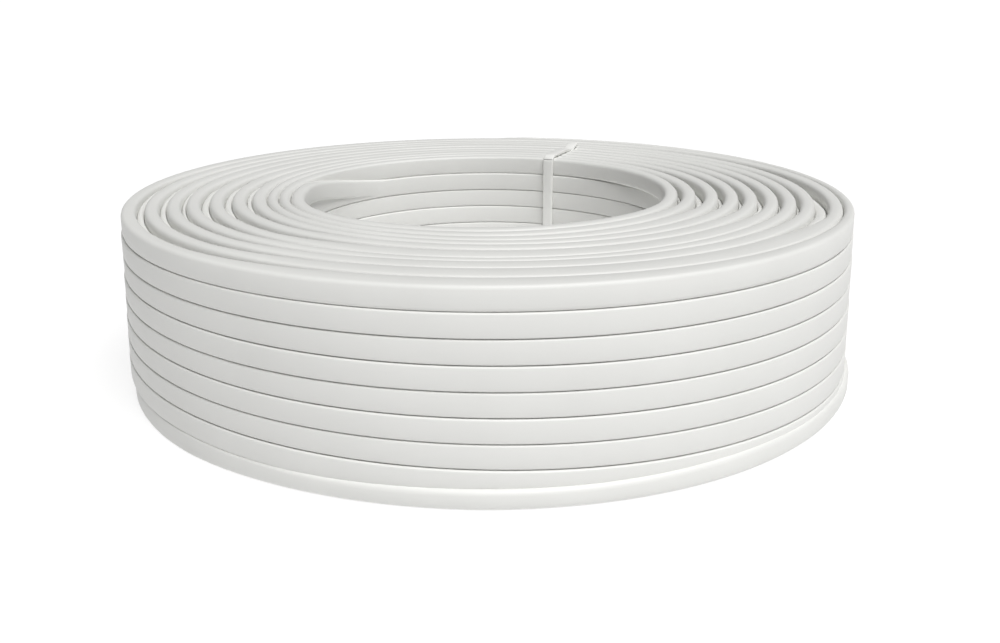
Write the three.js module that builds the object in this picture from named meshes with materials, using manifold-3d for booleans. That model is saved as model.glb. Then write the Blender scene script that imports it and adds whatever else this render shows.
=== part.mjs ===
// A free-standing coil of flat power cable, tied once round its inner turns.
// Millimetres, +Z up. It lies on its end, as it is stored, with the origin under the middle of its box.
import * as THREE from 'three';
import { mergeVertices } from 'three/addons/utils/BufferGeometryUtils.js';
import Module from 'manifold-3d';

const wasm = await Module();
wasm.setup();

// The cable's flat section, which stands upright in the coil
const cableWidth = 9.9;
const cableThickness = 6.2;
const cableEdge = 1.5;

// The wound coil
const coilRadius = 180;
const coilHeight = 89;
const boreRadius = 94.5;
const boreSetback = 7;          // the bore's centre lies this far behind the coil's
const rowRoom = 0.6;            // spare height that each row takes beyond the cable
const rowSlant = 0.04;          // share by which the rows spread from the left side to the right
const seamWidth = 1.6;
const seamDepth = 1.3;
const turnCount = 10;           // turns that show on each end
const turnGapDepth = 4;

// The last turn, which leaves the wall at the bottom; angles run from the front to the right
const lastTurnHeight = 8.6;
const lastTurnOut = 4;
const lastTurnStart = -26;
const lastTurnClear = 8;        // the angle at which it stands fully out
const lastTurnEnd = 212;
const lastTurnBite = 1;         // how far its foot reaches into the wall

// The tie strip, a closed loop round the inner turns
const tieAngle = 158;
const tieWidth = 5;
const tieThickness = 2;
const tieGap = 4;               // the gap between turns, counted from the outside, that its outer leg fills
const tieClearance = 0.3;

const ringSegments = 40;
const lastTurnSteps = 56;
const bendSegments = 4;

const rowPitch = cableWidth + rowRoom;
const turnPitch = (coilRadius - boreRadius - cableThickness) / (turnCount - 1);

// How far back a ring of this radius lies, because the bore's centre is set back
const setback = (radius) => boreSetback * (coilRadius - radius) / (coilRadius - boreRadius);

// A closed mesh, as a solid that can be joined and cut
function solidOf(geometry) {
  const bare = geometry.index ? geometry.toNonIndexed() : geometry.clone();
  bare.deleteAttribute('normal');
  bare.deleteAttribute('uv');
  const merged = mergeVertices(bare, 1e-4);
  const mesh = new wasm.Mesh({
    numProp: 3,
    vertProperties: new Float32Array(merged.attributes.position.array),
    triVerts: new Uint32Array(merged.index.array),
  });
  mesh.merge();
  return new wasm.Manifold(mesh);
}

// A solid's surface, as a geometry
function geometryOf(solid) {
  const mesh = solid.getMesh();
  const geometry = new THREE.BufferGeometry();
  geometry.setAttribute('position', new THREE.BufferAttribute(new Float32Array(mesh.vertProperties), 3));
  geometry.setIndex(new THREE.BufferAttribute(new Uint32Array(mesh.triVerts), 1));
  geometry.computeVertexNormals();
  return geometry;
}

// The point at a radius and an angle, counted from the front to the right
function around(radius, degrees) {
  const angle = THREE.MathUtils.degToRad(degrees);
  return [radius * Math.sin(angle), -radius * Math.cos(angle)];
}

// The ring's section: a seam between rows on the wall and in the bore, a gap between turns on the ends
function ringSection() {
  const seams = Math.floor((coilHeight - seamWidth) / (rowPitch * (1 + rowSlant)));
  const points = [];
  const add = (radius, height) => points.push(new THREE.Vector2(radius, height));

  const seam = (radius, height, inward, up) => {
    add(radius, height - up * seamWidth / 2);
    add(radius + inward * seamDepth, height);
    add(radius, height + up * seamWidth / 2);
  };
  const gap = (turn, height, down) => {
    const outer = coilRadius - turn * turnPitch - cableThickness + cableEdge;
    const inner = coilRadius - (turn + 1) * turnPitch - cableEdge;
    const edges = down > 0 ? [outer, inner] : [inner, outer];
    add(edges[0], height);
    add((outer + inner) / 2, height - down * turnGapDepth);
    add(edges[1], height);
  };

  add(coilRadius, 0);
  for (let row = seams; row > 0; row--) seam(coilRadius, coilHeight - row * rowPitch, -1, 1);
  add(coilRadius, coilHeight - cableEdge);
  add(coilRadius - cableEdge, coilHeight);
  for (let turn = 0; turn < turnCount - 1; turn++) gap(turn, coilHeight, 1);
  add(boreRadius + cableEdge, coilHeight);
  add(boreRadius, coilHeight - cableEdge);
  for (let row = 1; row <= seams; row++) seam(boreRadius, coilHeight - row * rowPitch, 1, -1);
  add(boreRadius, cableEdge);
  add(boreRadius + cableEdge, 0);
  for (let turn = turnCount - 2; turn >= 0; turn--) gap(turn, 0, -1);
  add(coilRadius, 0);
  return points;
}

// The ring of turns, with its rows spread from left to right and its bore set back
function ring() {
  const geometry = new THREE.LatheGeometry(ringSection(), ringSegments);
  geometry.rotateX(Math.PI / 2);
  const position = geometry.attributes.position;
  for (let i = 0; i < position.count; i++) {
    const x = position.getX(i);
    const y = position.getY(i);
    const z = position.getZ(i);
    const radius = Math.hypot(x, y);
    const onWall = radius > coilRadius - seamDepth - 0.01;
    const between = z > 0.01 && z < coilHeight - cableEdge - 0.01;
    if (onWall && between) position.setZ(i, coilHeight - (coilHeight - z) * (1 + rowSlant * x / radius));
    position.setY(i, y + setback(radius));
  }
  return solidOf(geometry);
}

// The last turn, bent round the wall from a straight length
function lastTurn() {
  const foot = lastTurnOut + lastTurnBite;
  const section = new THREE.Shape([
    new THREE.Vector2(-foot, 0),
    new THREE.Vector2(-cableEdge / 2, 0),
    new THREE.Vector2(0, cableEdge / 2),
    new THREE.Vector2(0, lastTurnHeight - cableEdge),
    new THREE.Vector2(-cableEdge, lastTurnHeight),
    new THREE.Vector2(-foot, lastTurnHeight),
  ]);
  const geometry = new THREE.ExtrudeGeometry(section, { depth: 1, steps: lastTurnSteps, bevelEnabled: false });
  const position = geometry.attributes.position;
  for (let i = 0; i < position.count; i++) {
    const angle = THREE.MathUtils.lerp(lastTurnEnd, lastTurnStart, position.getZ(i));
    const out = lastTurnOut * THREE.MathUtils.smoothstep(angle, lastTurnStart, lastTurnClear);
    const [x, y] = around(coilRadius + out + position.getX(i), angle);
    position.setXYZ(i, x, y, position.getY(i));
  }
  return solidOf(geometry);
}

// The tie's legs, as distances from the bore's centre along the tie's own upright plane
function tieLegs() {
  const inner = boreRadius * Math.cos(Math.PI / ringSegments) - tieClearance;
  const gapRadius = coilRadius - tieGap * turnPitch - (cableThickness + turnPitch) / 2;
  const offset = boreSetback - setback(gapRadius);
  const along = -offset * Math.cos(THREE.MathUtils.degToRad(tieAngle));
  const middle = Math.sqrt(along ** 2 + gapRadius ** 2 - offset ** 2) - along;
  return { inner, outer: middle - tieThickness / 2 };
}

// Puts a shape drawn as distance and height into the tie's plane
function inTiePlane(shape, width) {
  const geometry = new THREE.ExtrudeGeometry(shape, { depth: width, bevelEnabled: false, curveSegments: bendSegments });
  geometry.translate(0, 0, -width / 2);
  geometry.rotateX(Math.PI / 2);
  geometry.rotateZ(THREE.MathUtils.degToRad(tieAngle - 90));
  geometry.translate(0, boreSetback, 0);
  return geometry;
}

function rectangle(left, bottom, right, top) {
  return new THREE.Shape([
    new THREE.Vector2(left, bottom),
    new THREE.Vector2(right, bottom),
    new THREE.Vector2(right, top),
    new THREE.Vector2(left, top),
  ]);
}

// The strip: down the bore, under the turns in their recess, up between two turns and back over the top
function tieStrip() {
  const { inner, outer } = tieLegs();
  const low = tieClearance;
  const high = coilHeight + tieClearance + tieThickness;
  const left = inner - tieThickness;
  const right = outer + tieThickness;
  const bend = tieThickness;
  const outline = new THREE.Shape();
  outline.moveTo(left + bend, low);
  outline.lineTo(right - bend, low);
  outline.absarc(right - bend, low + bend, bend, -Math.PI / 2, 0, false);
  outline.lineTo(right, high - bend);
  outline.absarc(right - bend, high - bend, bend, 0, Math.PI / 2, false);
  outline.lineTo(left + bend, high);
  outline.absarc(left + bend, high - bend, bend, Math.PI / 2, Math.PI, false);
  outline.lineTo(left, low + bend);
  outline.absarc(left + bend, low + bend, bend, Math.PI, Math.PI * 1.5, false);
  outline.holes.push(rectangle(inner, low + tieThickness, outer, high - tieThickness));
  return inTiePlane(outline, tieWidth);
}

// The room that the tie takes in the coil: a slot between two turns and a recess in the underside
function tieRoom() {
  const { inner, outer } = tieLegs();
  const right = outer + tieThickness + tieClearance;
  const width = tieWidth + 2 * tieClearance;
  const past = tieThickness;
  const slot = rectangle(outer - tieClearance, -past, right, coilHeight + past);
  const recess = rectangle(inner - tieThickness - past, -past, right, tieThickness + 2 * tieClearance);
  return solidOf(inTiePlane(slot, width)).add(solidOf(inTiePlane(recess, width)));
}

const sheathWhite = new THREE.MeshStandardMaterial({ color: 0xe6e6e2, roughness: 0.55, metalness: 0 });
const tieWhite = new THREE.MeshStandardMaterial({ color: 0xeaeae6, roughness: 0.5, metalness: 0 });

function namedMesh(name, geometry, material) {
  const mesh = new THREE.Mesh(geometry, material);
  mesh.name = name;
  return mesh;
}

const coil = new THREE.Group();
coil.add(
  namedMesh('cable_coil', geometryOf(ring().add(lastTurn()).subtract(tieRoom())), sheathWhite),
  namedMesh('tie_strip', tieStrip(), tieWhite),
);

// The box's middle goes over the origin
const box = new THREE.Box3().setFromObject(coil);
coil.position.set(-(box.min.x + box.max.x) / 2, -(box.min.y + box.max.y) / 2, -box.min.z);
coil.updateMatrixWorld(true);

export default coil;
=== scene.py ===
import math

import bmesh
import bpy
from mathutils import Matrix, Vector


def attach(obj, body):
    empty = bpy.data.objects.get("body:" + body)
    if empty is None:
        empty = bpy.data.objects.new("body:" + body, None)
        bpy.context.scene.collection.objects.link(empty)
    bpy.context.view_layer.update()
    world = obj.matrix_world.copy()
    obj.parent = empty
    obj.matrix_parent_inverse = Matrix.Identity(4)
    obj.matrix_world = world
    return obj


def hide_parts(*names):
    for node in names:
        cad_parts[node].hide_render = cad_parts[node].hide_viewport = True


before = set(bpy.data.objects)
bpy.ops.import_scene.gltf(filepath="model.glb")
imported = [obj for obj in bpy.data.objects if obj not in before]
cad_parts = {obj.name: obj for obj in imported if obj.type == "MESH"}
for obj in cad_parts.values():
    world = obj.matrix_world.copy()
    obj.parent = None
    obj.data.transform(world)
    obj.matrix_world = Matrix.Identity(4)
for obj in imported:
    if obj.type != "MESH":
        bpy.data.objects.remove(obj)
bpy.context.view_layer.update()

bl_info = {
    "name": "Flat Power Cable Roll",
    "version": (1, 0, 0),
    "blender": (4, 5, 0),
    "location": "View3D > Sidebar > Cable Roll",
    "description": "Models a free-standing coil of flat white PVC power cable",
    "category": "Add Mesh",
}

MM = 0.001

# The coil lies flat with its axis upright. An azimuth is in degrees about the axis: 0 at the
# front, 90 at the right and 180 at the back. An angle is in degrees too, but runs on from turn to
# turn. On the upper end and the wall it is 0 where the innermost turn passes the front. Lengths
# here are millimetres, up to the stage.

# Outer radii of the turns on the upper end, from the outside in: left, front and right
LEFT_TURNS = (179.5, 168.9, 158.6, 149.3, 138.4, 127.5, 117.8, 110.5, 104.8, 99.3)
FRONT_TURNS = (180.0, 166.4, 153.4, 142.6, 136.6, 124.6, 116.0, 109.2, 102.2, 94.6)
RIGHT_TURNS = (179.6, 174.6, 161.7, 152.9, 144.3, 134.3, 125.0, 115.1, 104.1, 94.9)
LEFT_AZIMUTH = -72.0
RIGHT_AZIMUTH = 77.0
# Behind the coil the turns swell out before the tie, the inner ones the most
SWELL_AZIMUTH = 150.0
BACK_AZIMUTH = 200.0
BACK_SWELL = 3.7
UPPER_TURNS = len(LEFT_TURNS)
UPPER_THICKNESS = 7.0
# Where the outermost turn passes the front, and where the second turn begins to lie on the first
OUTERMOST = 360.0 * (UPPER_TURNS - 1)
SECOND_TURN = 200.0
# The innermost turn begins inside the bore's first row, then climbs to its own place and height
WINDING_START = -160.0
CLIMB_START = -150.0
CLIMBED_OUT = -85.0
CLIMBED_UP = -95.0
# How much higher the innermost turn stands at the front
INNER_RISE = 0.9

# How far the turns wound in between lie below the upper end
SINK = (
    (-180, 0.4), (-110, 1.0), (-85, 2.0), (-73, 2.5), (-60, 4.5), (-40, 4.5), (-20, 1.5), (0, 0.5),
    (40, 0.4), (60, 1.5), (70, 2.5), (85, 5.0), (110, 6.0), (135, 4.0), (160, 1.0), (180, 0.4),
)
# How far the turns lean over into the gap beside them: 1 closes it
CLOSED = (
    (-180, 1.0), (-120, 1.0), (-92, 0.0), (-45, 0.0), (-18, 1.0), (50, 1.0), (68, 0.0), (140, 0.0),
    (165, 1.0), (180, 1.0),
)
# Where the first of them begins
BETWEEN_START = 258.0

# Rows of the outer wall: nine on the left and eight on the right, so their height changes. Each
# steps down to the next one behind the coil, and the cable ends just after the last step
WALL_ROWS = 9
ROW_PITCH = 10.48
ROW_PITCH_CHANGE = 0.61
ROW_GAP = 0.35
STEP_DOWN_FROM = 172.0
STEP_DOWN_TO = 210.0
LAST_END = 212.0
# How far the lower rows stand out, and how far the lowest lies in behind the last turn
WALL_FLARE = 1.8
TUCKED_IN = 2.1

# The last turn stands out from the coil's radius by this much, and is a little lower at the front
LAST_START = -150.0
LAST_OUT = (
    (-150, 0.0), (-75, 0.0), (-60, 0.5), (-45, 1.9), (-30, 2.2), (-15, 3.3), (0, 4.3), (20, 3.8),
    (45, 2.9), (60, 2.9), (75, 3.8), (90, 4.2), (212, 4.2),
)
LAST_HEIGHT = 9.7
LAST_LOWER = 1.3
# The cable at the foot keeps this clear of the floor
FLOOR_GAP = 0.02

# Rows of the bore's wall. They begin inside the innermost upper turn
BORE_ROWS = 9
BORE_START = -400.0
BORE_ROW_GAP = 0.12

LOWER_TURNS = 8

# The sweep's step, the seam between two closed turns and the least width of a turn
DEGREES_A_STEP = 1.5
SEAM = 0.4
THINNEST = 0.3
# Rounding of the cable's edges, where it isn't the cable's own
WALL_CORNER = 0.9
OUTER_CORNER = 1.8
CLOSED_CORNER = 1.3
CORNER_SEGMENTS = 3

# Distance from the bore's centre at which the tie comes up between the turns, the rounding of its
# edges, and the parts of its curve from one point to the next
TIE_OUTER = 133.0
TIE_CORNER = 0.6
TIE_PARTS = 6
# The lower turns lift over the tie: fully this near to it, and not at all this far to the side
TIE_LIFT = 2.4
TIE_LIFT_FULL = 2.0
TIE_LIFT_NONE = 16.0

# A Mix node for colours has its two colours and its result at these places
MIX_FIRST = 6
MIX_SECOND = 7
MIX_RESULT = 2

# The stage, in metres and radians, with the lens and the sensor in millimetres. The floor reaches
# this far each way, and the camera's place is measured from the foot of the coil's axis
FLOOR_REACH = 20.0
FLOOR_GLOW = 0.74
SKY_LIGHT = 0.1
SKY_SEEN_MORE = 0.95
SUN_POWER = 3.2
SUN_SPREAD = math.radians(40)
SUN_AIM = (-0.219, 0.38, -0.899)
CAMERA_PLACE = (0.00054, -0.5953, 0.206)
CAMERA_DOWN = 0.3047
CAMERA_ROLL = -0.009
CAMERA_LENS = 42.588
CAMERA_SENSOR = 36.0


def linear(code):
    """The linear colour of an sRGB hex code."""
    channels = []
    for at in (0, 2, 4):
        value = int(code[at:at + 2], 16) / 255.0
        if value <= 0.04045:
            channels.append(value / 12.92)
        else:
            channels.append(((value + 0.055) / 1.055) ** 2.4)
    return tuple(channels)


class CableRollSizes(bpy.types.PropertyGroup):
    cable_width: bpy.props.FloatProperty(
        name="Cable width", description="Width of the flat cable", default=0.0099, unit="LENGTH",
    )
    cable_thickness: bpy.props.FloatProperty(
        name="Cable thickness", description="Thickness of the flat cable", default=0.0062,
        unit="LENGTH",
    )
    cable_corner: bpy.props.FloatProperty(
        name="Cable corner", description="Radius of the cable's long corners", default=0.0023,
        unit="LENGTH",
    )
    coil_radius: bpy.props.FloatProperty(
        name="Coil radius", description="Outer radius of the coil", default=0.180, unit="LENGTH",
    )
    coil_height: bpy.props.FloatProperty(
        name="Coil height", description="Height of the coil as it lies", default=0.089,
        unit="LENGTH",
    )
    bore_radius: bpy.props.FloatProperty(
        name="Bore radius", description="Radius of the opening", default=0.0945, unit="LENGTH",
    )
    bore_setback: bpy.props.FloatProperty(
        name="Bore setback", description="How far the opening lies behind the axis", default=0.007,
        unit="LENGTH",
    )
    axis_x: bpy.props.FloatProperty(
        name="Axis X", description="Where the coil's axis stands, left to right",
        default=-0.001978, unit="LENGTH",
    )
    axis_y: bpy.props.FloatProperty(
        name="Axis Y", description="Where the coil's axis stands, front to back",
        default=-0.000227, unit="LENGTH",
    )
    tie_width: bpy.props.FloatProperty(
        name="Tie width", description="Width of the tying strip", default=0.0058, unit="LENGTH",
    )
    tie_thickness: bpy.props.FloatProperty(
        name="Tie thickness", description="Thickness of the tying strip", default=0.002,
        unit="LENGTH",
    )
    tie_azimuth: bpy.props.FloatProperty(
        name="Tie azimuth", description="Where the tie goes round the coil",
        default=math.radians(158), subtype="ANGLE",
    )


class CableRollColours(bpy.types.PropertyGroup):
    sheath: bpy.props.FloatVectorProperty(
        name="Sheath", description="White PVC of the cable", subtype="COLOR", size=3,
        default=linear("E4E4E1"),
    )
    tie: bpy.props.FloatVectorProperty(
        name="Tie", description="White PVC of the tie", subtype="COLOR", size=3,
        default=linear("EDEDEA"),
    )
    floor: bpy.props.FloatVectorProperty(
        name="Floor", description="Pale studio floor", subtype="COLOR", size=3,
        default=linear("959595"),
    )


def ease(start, end, value):
    """0 before start, 1 after end and a smooth rise in between."""
    share = min(1.0, max(0.0, (value - start) / (end - start)))
    return share * share * (3.0 - 2.0 * share)


def around(angle):
    """The azimuth of an angle, from -180 to 180."""
    return (angle + 180.0) % 360.0 - 180.0


def table_value(table, value):
    """The value of a table of pairs, in straight lines between them."""
    for (x0, y0), (x1, y1) in zip(table, table[1:]):
        if value <= x1:
            return y0 + (y1 - y0) * max(0.0, (value - x0) / (x1 - x0))
    return table[-1][1]


def curve_value(knots, value):
    """A smooth curve through knots (place, height), level beyond them."""
    if value <= knots[0][0]:
        return knots[0][1]
    if value >= knots[-1][0]:
        return knots[-1][1]
    at = 0
    while knots[at + 1][0] < value:
        at += 1
    slopes = []
    for n in (at, at + 1):
        before = knots[max(0, n - 1)]
        after = knots[min(len(knots) - 1, n + 1)]
        slopes.append((after[1] - before[1]) / (after[0] - before[0]))
    x0, y0 = knots[at]
    x1, y1 = knots[at + 1]
    wide = x1 - x0
    t = (value - x0) / wide
    return (
        (2 * t ** 3 - 3 * t ** 2 + 1) * y0 + (t ** 3 - 2 * t ** 2 + t) * wide * slopes[0]
        + (3 * t ** 2 - 2 * t ** 3) * y1 + (t ** 3 - t ** 2) * wide * slopes[1]
    )


def smooth_line(line, parts):
    """A smooth curve through the points of a line, in this many parts from one to the next."""
    path = []
    for n in range(len(line) - 1):
        points = [line[max(0, min(len(line) - 1, n + k))] for k in (-1, 0, 1, 2)]
        for part in range(parts):
            t = part / parts
            path.append(tuple(
                0.5 * (
                    2 * b + (c - a) * t + (2 * a - 5 * b + 4 * c - d) * t * t
                    + (3 * b - a - 3 * c + d) * t ** 3
                )
                for a, b, c, d in zip(*points)
            ))
    path.append(line[-1])
    return path


def waver(angle, phase):
    """A small slow unevenness between about -1 and 1."""
    turn = math.radians(angle)
    return 0.5 * math.sin(1.31 * turn + phase) + 0.5 * math.sin(2.77 * turn + 2.1 * phase)


def turn_radii(sizes):
    """Knots (angle, outer radius) of the turns on the upper end, wound from the inside out."""
    radius = sizes.coil_radius / MM
    knots = []
    for turn in reversed(range(UPPER_TURNS)):
        base = 360.0 * (UPPER_TURNS - 1 - turn)
        knots.append((base + LEFT_AZIMUTH, LEFT_TURNS[turn]))
        knots.append((base, FRONT_TURNS[turn]))
        knots.append((base + RIGHT_AZIMUTH, RIGHT_TURNS[turn]))
        if turn > 0:
            # Each turn moves out behind the coil, to the place of the next one. The last but one
            # stays a little further in, beside the outermost
            back = 0.65 * RIGHT_TURNS[turn] + 0.35 * LEFT_TURNS[turn - 1] + 1.2 * (turn - 0.5)
            if turn == 1:
                back = 0.972 * radius
            swell = BACK_SWELL * (turn / (UPPER_TURNS - 1)) ** 1.6
            knots.append((base + SWELL_AZIMUTH, 0.35 * RIGHT_TURNS[turn] + 0.65 * back + swell))
            knots.append((base + BACK_AZIMUTH, back))
    return knots


def row_pitch(angle):
    """Height of one row on the wall: lower on the left, higher on the right."""
    azimuth = around(angle)
    if azimuth < STEP_DOWN_TO - 360.0:
        azimuth += 360.0
    if azimuth >= 90.0:
        side = 1.0 - 2.0 * ease(STEP_DOWN_FROM, STEP_DOWN_TO, azimuth)
    elif azimuth <= -90.0:
        side = -1.0
    else:
        side = math.sin(math.radians(azimuth))
    return ROW_PITCH + ROW_PITCH_CHANGE * side


def bore_face(sizes, angle):
    """Distance of the bore's wall from the coil's axis."""
    turn = math.radians(angle)
    setback = sizes.bore_setback / MM
    radius = sizes.bore_radius / MM
    return math.sqrt(radius ** 2 - (setback * math.sin(turn)) ** 2) - setback * math.cos(turn)


def over_tie(sizes, angle, radius):
    """How far a turn on the underside lifts over the tie."""
    off = abs(around(angle - math.degrees(sizes.tie_azimuth))) * math.pi / 180.0 * radius
    return TIE_LIFT * (1.0 - ease(TIE_LIFT_FULL, TIE_LIFT_NONE, off))


# Each section function gives the cable at an angle, in millimetres: its outer radius, its top,
# its width across the coil, its height and the radius of its corners


def upper_section(sizes, knots, angle):
    """The cable on the upper end, with open gaps on the left and right."""
    high = sizes.cable_width / MM
    corner = sizes.cable_corner / MM
    azimuth = around(angle)
    closed = table_value(CLOSED, azimuth)
    outer = curve_value(knots, angle)
    wide = UPPER_THICKNESS
    if angle > SECOND_TURN:
        room = outer - curve_value(knots, angle - 360.0) - SEAM
        wide = min(wide, room)
        wide += (room - wide) * closed * ease(SECOND_TURN, SECOND_TURN + 90.0, angle)
    # The inner turns stand a little higher at the front
    turn = UPPER_TURNS - 1 - (angle + 180.0) // 360.0
    rise = INNER_RISE * max(0.0, turn - 4.0) / 5.0 * (1.0 - ease(20.0, 75.0, abs(azimuth)))
    level = sizes.coil_height / MM + rise + 0.12 * waver(angle, 0.4)
    # The innermost turn climbs out of the bore's first row
    inside = bore_face(sizes, angle) + 0.3 + UPPER_THICKNESS
    outer += (inside - outer) * (1.0 - ease(CLIMB_START, CLIMBED_OUT, angle))
    level -= 10.0 * (1.0 - ease(CLIMB_START, CLIMBED_UP, angle))
    # The outermost turn grows as high as a row of the wall
    last = ease(OUTERMOST - 160.0, OUTERMOST - 90.0, angle)
    tall = high + (row_pitch(angle) - high) * last
    bend = corner + (CLOSED_CORNER - corner) * closed
    return outer, level, wide, tall, bend + (OUTER_CORNER - bend) * last


def wall_section(sizes, angle):
    """The cable in a row of the wall, and then in the last turn at the foot."""
    thick = sizes.cable_thickness / MM
    corner = sizes.cable_corner / MM
    lap = angle - OUTERMOST
    steps = math.floor((lap + 360.0 - STEP_DOWN_FROM) / 360.0)
    inside = lap - (steps - 1) * 360.0
    row = steps - 1 + ease(STEP_DOWN_FROM, STEP_DOWN_TO, inside)
    pitch = row_pitch(angle)
    level = sizes.coil_height / MM - row * pitch
    tall = pitch - ROW_GAP
    # The lower rows stand out a little, and the lowest lies in where the last turn passes it
    flare = WALL_FLARE * (row / (WALL_ROWS - 1)) ** 1.5
    outer = sizes.coil_radius / MM + 0.25 * waver(angle, 1.0 + row)
    lowest = angle - (OUTERMOST + 360.0 * (WALL_ROWS - 1))
    behind = ease(-215.0, -190.0, lowest) * (1.0 - ease(-148.0, -115.0, lowest))
    outer += flare * (1.0 - ease(-215.0, -190.0, lowest)) - TUCKED_IN * behind
    if lowest > LAST_START:
        outer += table_value(LAST_OUT, lowest)
        lower = ease(-60.0, -20.0, lowest) - ease(10.0, 40.0, lowest)
        tall = LAST_HEIGHT - LAST_LOWER * lower
        level = tall + FLOOR_GAP
    # The first row takes over the outermost turn's width and shoulder
    wall = ease(170.0, 260.0, lap)
    wide = UPPER_THICKNESS + (thick - UPPER_THICKNESS) * wall
    bend = OUTER_CORNER + (WALL_CORNER - OUTER_CORNER) * wall
    bend += (corner - WALL_CORNER) * ease(-60.0, -10.0, lowest)
    return outer, max(level, tall + FLOOR_GAP), wide, tall, bend


def between_section(sizes, knots, angle):
    """The cable that fills the gap between two upper turns, a little below them."""
    azimuth = around(angle)
    closed = table_value(CLOSED, azimuth)
    outer_turn = curve_value(knots, angle) - UPPER_THICKNESS
    inner_turn = curve_value(knots, angle - 360.0)
    room = SEAM + max(0.0, outer_turn - inner_turn - SEAM) * (1.0 - closed)
    wide = max(THINNEST, room - 0.3)
    outer = inner_turn + (room + wide) / 2
    level = sizes.coil_height / MM - table_value(SINK, azimuth) - 2.0 * closed
    level += 0.2 * waver(angle, 2.2)
    # It rises from deeper down at its start
    level -= 8.0 * (1.0 - ease(255.0, 280.0, angle))
    return outer, level, wide, sizes.cable_width / MM, sizes.cable_corner / MM


def bore_section(sizes, angle):
    """The cable in a row of the bore's wall, each stepping down to the next at the front."""
    thick = sizes.cable_thickness / MM
    top = sizes.coil_height / MM
    pitch = top / BORE_ROWS
    steps = math.floor((angle + 180.0) / 360.0)
    row = 1 + steps + ease(-40.0, 40.0, angle - 360.0 * steps)
    level = top - min(row, BORE_ROWS - 1) * pitch
    face = bore_face(sizes, angle) + 0.35 * waver(angle, 0.7 + row)
    # The first row comes down out of the innermost upper turn
    hidden = 1.0 - ease(-330.0, -300.0, angle)
    face += 0.6 * hidden
    level -= 0.3 * hidden
    return face + thick, level, thick, pitch - BORE_ROW_GAP, WALL_CORNER


def lower_turn(sizes, angle):
    """Outer radius of the spiral on the floor."""
    thick = sizes.cable_thickness / MM
    radius = sizes.coil_radius / MM
    share = min(1.0, max(0.0, angle / (360.0 * LOWER_TURNS)))
    inside = bore_face(sizes, angle) + thick + 0.6 + thick
    return inside + (radius - TUCKED_IN - thick - 0.8 - inside) * share


def lower_section(sizes, angle):
    """The cable on the floor."""
    high = sizes.cable_width / MM
    outer = lower_turn(sizes, angle)
    level = high + 0.05 + over_tie(sizes, angle, outer)
    return outer, level, sizes.cable_thickness / MM, high, sizes.cable_corner / MM


def lower_between_section(sizes, angle):
    """The cable that fills the gap between two turns on the floor, a little above them."""
    high = sizes.cable_width / MM
    outer_turn = lower_turn(sizes, angle) - sizes.cable_thickness / MM
    gap = outer_turn - lower_turn(sizes, angle - 360.0)
    wide = max(THINNEST, gap - 0.4)
    level = high + 1.2 + over_tie(sizes, angle, outer_turn)
    return outer_turn - 0.2, level, wide, high, sizes.cable_corner / MM


def cable_bar(steps, thick, high, corner):
    """A straight closed bar along y, one step to a unit, its section in x and z."""
    bm = bmesh.new()
    bmesh.ops.create_grid(bm, x_segments=1, y_segments=1, size=0.5)
    bmesh.ops.scale(bm, verts=bm.verts[:], vec=(thick, high, 1.0))
    bmesh.ops.bevel(
        bm, geom=bm.verts[:], offset=corner, segments=CORNER_SEGMENTS, profile=0.5,
        affect="VERTICES", material=-1,
    )
    upright = Matrix.Rotation(math.radians(90), 3, "X")
    bmesh.ops.rotate(bm, verts=bm.verts[:], cent=(0, 0, 0), matrix=upright)
    bmesh.ops.spin(
        bm, geom=bm.verts[:] + bm.edges[:] + bm.faces[:], cent=(0, 0, 0), axis=(0, 1, 0),
        dvec=(0, steps, 0), angle=0.0, steps=1, use_merge=False, use_duplicate=False,
    )
    along = [e for e in bm.edges if abs(e.verts[0].co.y - e.verts[1].co.y) > 0.5]
    bmesh.ops.subdivide_edges(bm, edges=along, cuts=steps - 1, use_grid_fill=True)
    bmesh.ops.recalc_face_normals(bm, faces=bm.faces[:])
    return bm


def finish_bar(bm, run):
    """Smooth faces with plain ends, and a UV map in metres: along the bar, and round its section."""
    uv = bm.loops.layers.uv.new("along")
    for face in bm.faces:
        face.smooth = len(face.verts) == 4
        if len(face.verts) > 4:
            for edge in face.edges:
                edge.smooth = False
        for loop in face.loops:
            place = loop.vert.co
            loop[uv].uv = (run[round(place.y)] * MM, (place.x + place.z) * MM)


def reshape(place, half, new_half, corner, new_corner):
    """Moves a point of the section to a section of another size, and keeps its corners round."""
    new_corner = min(new_corner, new_half)
    share = (abs(place) - half + corner) / corner
    return math.copysign(new_half - new_corner + new_corner * share, place)


def wind(sizes, piece, start, end, step, section):
    """Adds one length of cable to the piece, wound from the start angle to the end angle."""
    thick = sizes.cable_thickness / MM
    high = sizes.cable_width / MM
    corner = sizes.cable_corner / MM
    steps = max(2, round((end - start) / step))
    angles = [start + (end - start) * n / steps for n in range(steps + 1)]
    places = [section(angle) for angle in angles]
    run = [0.0]
    for n in range(steps):
        arc = math.radians(angles[n + 1] - angles[n])
        run.append(run[-1] + arc * places[n][0])
    bm = cable_bar(steps, thick, high, corner)
    finish_bar(bm, run)
    for vert in bm.verts:
        n = round(vert.co.y)
        outer, top, wide, tall, bend = places[n]
        turn = math.radians(angles[n])
        radius = outer - wide / 2 + reshape(vert.co.x, thick / 2, wide / 2, corner, bend)
        height = top - tall / 2 + reshape(vert.co.z, high / 2, tall / 2, corner, bend)
        vert.co = Vector((
            sizes.axis_x + radius * MM * math.sin(turn),
            sizes.axis_y - radius * MM * math.cos(turn),
            height * MM,
        ))
    add_to(piece, bm)


def add_to(piece, bm):
    """Adds the shape to the piece's mesh."""
    part = bpy.data.meshes.new("part")
    bm.to_mesh(part)
    bm.free()
    whole = bmesh.new()
    whole.from_mesh(piece.data)
    whole.from_mesh(part)
    whole.to_mesh(piece.data)
    whole.free()
    bpy.data.meshes.remove(part)


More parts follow.
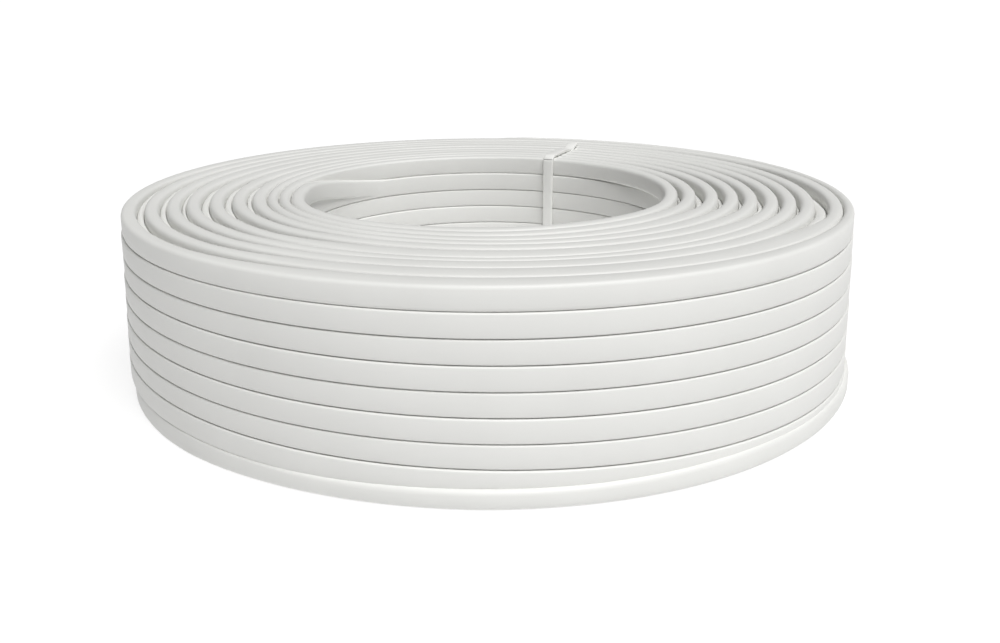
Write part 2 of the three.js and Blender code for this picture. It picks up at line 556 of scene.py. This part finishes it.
def new_piece(name, material):
    """An empty mesh object at the origin, in the scene."""
    mesh = bpy.data.meshes.new(name)
    mesh.materials.append(material)
    piece = bpy.data.objects.new(name, mesh)
    bpy.context.scene.collection.objects.link(piece)
    return piece


def hand_over(piece, node):
    """The piece rides the model's one body and stands for a part of the frame."""
    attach(piece, "root")
    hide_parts(node)


def new_node(tree, kind, place, **inputs):
    """Adds a node at a place in the tree, with values for its inputs."""
    node = tree.nodes.new(kind)
    node.location = place
    for name, value in inputs.items():
        node.inputs[name.replace("_", " ")].default_value = value
    return node


def pvc_material(name, colour, roughness, line_depth):
    """Soft white PVC. The eye gets a satin sheen, a cloudy tone over a few centimetres and fine
    lines along the length, left by the extruder's die."""
    material = bpy.data.materials.get(name)
    if material:
        return material
    material = bpy.data.materials.new(name)
    material.use_nodes = True
    tree = material.node_tree
    shader = tree.nodes["Principled BSDF"]
    shader.inputs["Roughness"].default_value = roughness
    shader.inputs["IOR"].default_value = 1.52
    shader.inputs["Specular IOR Level"].default_value = 0.4
    # Cloudy tone: patches about 40 mm across
    place = new_node(tree, "ShaderNodeTexCoord", (-1200, 200))
    cloud = new_node(
        tree, "ShaderNodeTexNoise", (-1000, 200), Scale=1.0 / (40.0 * MM), Detail=3.0, Roughness=0.5,
    )
    tree.links.new(place.outputs["Object"], cloud.inputs["Vector"])
    tone = new_node(tree, "ShaderNodeMix", (-600, 200))
    tone.data_type = "RGBA"
    darker = tuple(channel * 0.95 for channel in colour)
    lighter = tuple(min(1.0, channel * 1.03) for channel in colour)
    tone.inputs[MIX_FIRST].default_value = darker + (1.0,)
    tone.inputs[MIX_SECOND].default_value = lighter + (1.0,)
    tree.links.new(cloud.outputs["Fac"], tone.inputs[0])
    tree.links.new(tone.outputs[MIX_RESULT], shader.inputs["Base Color"])
    # Fine lines: 1.4 to a millimetre round the section, drawn out to a seventh of a metre along it
    chart = new_node(tree, "ShaderNodeUVMap", (-1200, -200))
    chart.uv_map = "along"
    stretch = new_node(tree, "ShaderNodeMapping", (-1000, -200), Scale=(7.0, 1.4 / MM, 1.0))
    lines = new_node(tree, "ShaderNodeTexNoise", (-800, -200), Scale=1.0, Detail=2.0)
    bump = new_node(tree, "ShaderNodeBump", (-400, -200), Strength=0.25, Distance=line_depth)
    tree.links.new(chart.outputs["UV"], stretch.inputs["Vector"])
    tree.links.new(stretch.outputs["Vector"], lines.inputs["Vector"])
    tree.links.new(lines.outputs["Fac"], bump.inputs["Height"])
    tree.links.new(bump.outputs["Normal"], shader.inputs["Normal"])
    return material


def sheath_material(context):
    """The cable's sheath, with extrusion lines a tenth of a millimetre deep."""
    colour = tuple(context.scene.cable_roll_colours.sheath)
    return pvc_material("white PVC cable sheath", colour, 0.5, 0.1 * MM)


def floor_material(colour):
    """Pale seamless studio paper, lit from below a little so that it falls away to white."""
    material = bpy.data.materials.new("pale studio floor")
    material.use_nodes = True
    tree = material.node_tree
    shader = tree.nodes["Principled BSDF"]
    shader.inputs["Roughness"].default_value = 0.9
    shader.inputs["Specular IOR Level"].default_value = 0.1
    shader.inputs["Emission Color"].default_value = (1.0, 1.0, 1.0, 1.0)
    shader.inputs["Emission Strength"].default_value = FLOOR_GLOW
    place = new_node(tree, "ShaderNodeTexCoord", (-900, 0))
    # Unevenness of the paper: patches about half a metre across
    grain = new_node(tree, "ShaderNodeTexNoise", (-700, 0), Scale=1.0 / (500.0 * MM), Detail=2.0)
    tone = new_node(tree, "ShaderNodeMix", (-400, 0))
    tone.data_type = "RGBA"
    tone.inputs[MIX_FIRST].default_value = tuple(channel * 0.985 for channel in colour) + (1.0,)
    tone.inputs[MIX_SECOND].default_value = tuple(colour) + (1.0,)
    tree.links.new(place.outputs["Object"], grain.inputs["Vector"])
    tree.links.new(grain.outputs["Fac"], tone.inputs[0])
    tree.links.new(tone.outputs[MIX_RESULT], shader.inputs["Base Color"])
    return material


class CableRollWinding(bpy.types.Operator):
    """Winds the turns on the upper end, from the bore out, and the rows of the outer wall"""

    bl_idname = "cable_roll.winding"
    bl_label = "Upper Turns and Wall"

    def execute(self, context):
        sizes = context.scene.cable_roll_sizes
        knots = turn_radii(sizes)
        end = OUTERMOST + 360.0 * (WALL_ROWS - 1) + LAST_END

        def section(angle):
            if angle > OUTERMOST + STEP_DOWN_FROM - 1.0:
                return wall_section(sizes, angle)
            return upper_section(sizes, knots, angle)

        piece = new_piece("upper_turns_and_wall", sheath_material(context))
        wind(sizes, piece, WINDING_START, end, DEGREES_A_STEP, section)
        hand_over(piece, "cable_coil")
        return {"FINISHED"}


class CableRollBetween(bpy.types.Operator):
    """Winds the turns that lie a little lower, in the gaps between the upper ones"""

    bl_idname = "cable_roll.between"
    bl_label = "Turns Between"

    def execute(self, context):
        sizes = context.scene.cable_roll_sizes
        knots = turn_radii(sizes)
        end = OUTERMOST + STEP_DOWN_FROM - 12.0

        def section(angle):
            return between_section(sizes, knots, angle)

        piece = new_piece("turns_between", sheath_material(context))
        wind(sizes, piece, BETWEEN_START, end, DEGREES_A_STEP, section)
        hand_over(piece, "cable_coil")
        return {"FINISHED"}


class CableRollBore(bpy.types.Operator):
    """Winds the rows of the bore's wall, under the innermost upper turn"""

    bl_idname = "cable_roll.bore"
    bl_label = "Bore Rows"

    def execute(self, context):
        sizes = context.scene.cable_roll_sizes
        end = 360.0 * (BORE_ROWS - 2) + 20.0

        def section(angle):
            return bore_section(sizes, angle)

        piece = new_piece("bore_rows", sheath_material(context))
        wind(sizes, piece, BORE_START, end, DEGREES_A_STEP, section)
        hand_over(piece, "cable_coil")
        return {"FINISHED"}


class CableRollUnderside(bpy.types.Operator):
    """Winds the turns of the lower end, on the floor, with others a little higher in between"""

    bl_idname = "cable_roll.underside"
    bl_label = "Underside Turns"

    def execute(self, context):
        sizes = context.scene.cable_roll_sizes
        end = 360.0 * LOWER_TURNS

        def section(angle):
            return lower_section(sizes, angle)

        def between(angle):
            return lower_between_section(sizes, angle)

        piece = new_piece("underside_turns", sheath_material(context))
        wind(sizes, piece, 0.0, end, 2 * DEGREES_A_STEP, section)
        wind(sizes, piece, 360.0, end, 2 * DEGREES_A_STEP, between)
        hand_over(piece, "cable_coil")
        return {"FINISHED"}


def tie_line(sizes):
    """Points (distance from the bore's centre, height) of the tie's middle line, from its free end
    over the turns, down the bore, under the coil and up between the turns."""
    thick = sizes.tie_thickness / MM
    top = sizes.coil_height / MM
    inner = sizes.bore_radius / MM - thick / 2 - 0.15
    outer = TIE_OUTER
    return (
        (outer + 7.5, top + 2.0), (outer + 3.0, top + 1.3), (outer - 3.0, top - 0.6),
        (outer - 9.0, top + 0.6), (outer - 16.0, top + 1.2), (outer - 26.0, top + 1.3),
        (inner + 6.0, top + 1.3), (inner + 2.6, top + 0.9), (inner + 0.6, top - 0.9),
        (inner, top - 4.0), (inner, top * 0.7), (inner, top * 0.4), (inner, 5.0),
        (inner + 1.0, 2.2), (inner + 4.0, 1.1), (inner + 15.0, 1.1), (outer - 12.0, 1.1),
        (outer - 3.5, 1.2), (outer - 0.8, 2.6), (outer, 6.0), (outer, top * 0.4),
        (outer, top * 0.7), (outer, top - 8.0),
    )


class CableRollTie(bpy.types.Operator):
    """Loops the tying strip through the bore, under the coil and up between the turns"""

    bl_idname = "cable_roll.tie"
    bl_label = "Tie"

    def execute(self, context):
        sizes = context.scene.cable_roll_sizes
        path = smooth_line(tie_line(sizes), TIE_PARTS)
        steps = len(path) - 1
        run = [0.0]
        for n in range(steps):
            run.append(run[-1] + math.dist(path[n], path[n + 1]))
        bm = cable_bar(steps, sizes.tie_thickness / MM, sizes.tie_width / MM, TIE_CORNER)
        finish_bar(bm, run)
        turn = sizes.tie_azimuth
        away = Vector((math.sin(turn), -math.cos(turn), 0.0))
        side = Vector((math.cos(turn), math.sin(turn), 0.0))
        centre = Vector((sizes.axis_x, sizes.axis_y + sizes.bore_setback, 0.0))
        for vert in bm.verts:
            n = round(vert.co.y)
            before = path[max(0, n - 1)]
            after = path[min(steps, n + 1)]
            ahead = Vector((after[0] - before[0], after[1] - before[1])).normalized()
            distance = path[n][0] + vert.co.x * ahead.y
            height = path[n][1] - vert.co.x * ahead.x
            vert.co = centre + (away * distance + side * vert.co.z) * MM
            vert.co.z = height * MM
        bmesh.ops.recalc_face_normals(bm, faces=bm.faces[:])
        # A little glossier than the sheath, with lines half as deep
        colour = tuple(context.scene.cable_roll_colours.tie)
        piece = new_piece("tie", pvc_material("white PVC tie strip", colour, 0.42, 0.05 * MM))
        add_to(piece, bm)
        hand_over(piece, "tie_strip")
        return {"FINISHED"}


def add_floor(scene):
    """A wide floor under the coil."""
    mesh = bpy.data.meshes.new("floor")
    bm = bmesh.new()
    bmesh.ops.create_grid(bm, x_segments=1, y_segments=1, size=FLOOR_REACH)
    bm.to_mesh(mesh)
    bm.free()
    mesh.materials.append(floor_material(tuple(scene.cable_roll_colours.floor)))
    floor = bpy.data.objects.new("floor", mesh)
    scene.collection.objects.link(floor)


def add_light(scene):
    """A white backdrop and one large soft light, high up at the front right."""
    world = bpy.data.worlds.new("soft light")
    world.use_nodes = True
    tree = world.node_tree
    sky = tree.nodes["Background"]
    sky.inputs["Color"].default_value = (1.0, 1.0, 1.0, 1.0)
    # The backdrop looks white, and adds only a little light to the coil
    seen = new_node(tree, "ShaderNodeLightPath", (-600, 0))
    strength = new_node(tree, "ShaderNodeMath", (-300, 0))
    strength.operation = "MULTIPLY_ADD"
    strength.inputs[1].default_value = SKY_SEEN_MORE
    strength.inputs[2].default_value = SKY_LIGHT
    tree.links.new(seen.outputs["Is Camera Ray"], strength.inputs[0])
    tree.links.new(strength.outputs["Value"], sky.inputs["Strength"])
    scene.world = world
    lamp = bpy.data.lights.new("key light", "SUN")
    lamp.energy = SUN_POWER
    lamp.angle = SUN_SPREAD
    key = bpy.data.objects.new("key light", lamp)
    key.rotation_euler = Vector(SUN_AIM).to_track_quat("-Z", "Y").to_euler()
    scene.collection.objects.link(key)


def add_camera(scene):
    """A camera in front of the coil, looking down on it."""
    sizes = scene.cable_roll_sizes
    shot = bpy.data.cameras.new("camera")
    shot.lens = CAMERA_LENS
    shot.sensor_width = CAMERA_SENSOR
    shot.dof.use_dof = False
    shot.clip_start = 0.01
    shot.clip_end = 100.0
    camera = bpy.data.objects.new("camera", shot)
    x, y, z = CAMERA_PLACE
    camera.location = (sizes.axis_x + x, sizes.axis_y + y, z)
    camera.rotation_euler = (math.pi / 2 - CAMERA_DOWN, 0.0, CAMERA_ROLL)
    scene.collection.objects.link(camera)
    scene.camera = camera


class CableRollStage(bpy.types.Operator):
    """Sets the floor, the soft light and the camera"""

    bl_idname = "cable_roll.stage"
    bl_label = "Stage"

    def execute(self, context):
        add_floor(context.scene)
        add_light(context.scene)
        add_camera(context.scene)
        context.scene.view_settings.view_transform = "Standard"
        return {"FINISHED"}


OPERATORS = (
    CableRollWinding, CableRollBetween, CableRollBore, CableRollUnderside, CableRollTie,
    CableRollStage,
)


class CableRollPanel(bpy.types.Panel):
    """Lists the steps of the model and its sizes and colours"""

    bl_idname = "VIEW3D_PT_cable_roll"
    bl_label = "Cable Roll"
    bl_space_type = "VIEW_3D"
    bl_region_type = "UI"
    bl_category = "Cable Roll"

    def draw(self, context):
        layout = self.layout
        for group in (context.scene.cable_roll_sizes, context.scene.cable_roll_colours):
            column = layout.column()
            for name in group.bl_rna.properties.keys():
                if name not in ("rna_type", "name"):
                    column.prop(group, name)
        for operator in OPERATORS:
            layout.operator(operator.bl_idname)


def register():
    bpy.utils.register_class(CableRollSizes)
    bpy.utils.register_class(CableRollColours)
    for operator in OPERATORS:
        bpy.utils.register_class(operator)
    bpy.utils.register_class(CableRollPanel)
    bpy.types.Scene.cable_roll_sizes = bpy.props.PointerProperty(type=CableRollSizes)
    bpy.types.Scene.cable_roll_colours = bpy.props.PointerProperty(type=CableRollColours)


def unregister():
    del bpy.types.Scene.cable_roll_colours
    del bpy.types.Scene.cable_roll_sizes
    bpy.utils.unregister_class(CableRollPanel)
    for operator in reversed(OPERATORS):
        bpy.utils.unregister_class(operator)
    bpy.utils.unregister_class(CableRollColours)
    bpy.utils.unregister_class(CableRollSizes)


def main():
    register()
    bpy.ops.cable_roll.winding()
    bpy.ops.cable_roll.between()
    bpy.ops.cable_roll.bore()
    bpy.ops.cable_roll.underside()
    bpy.ops.cable_roll.tie()
    bpy.ops.cable_roll.stage()


if __name__ == "__main__":
    main()
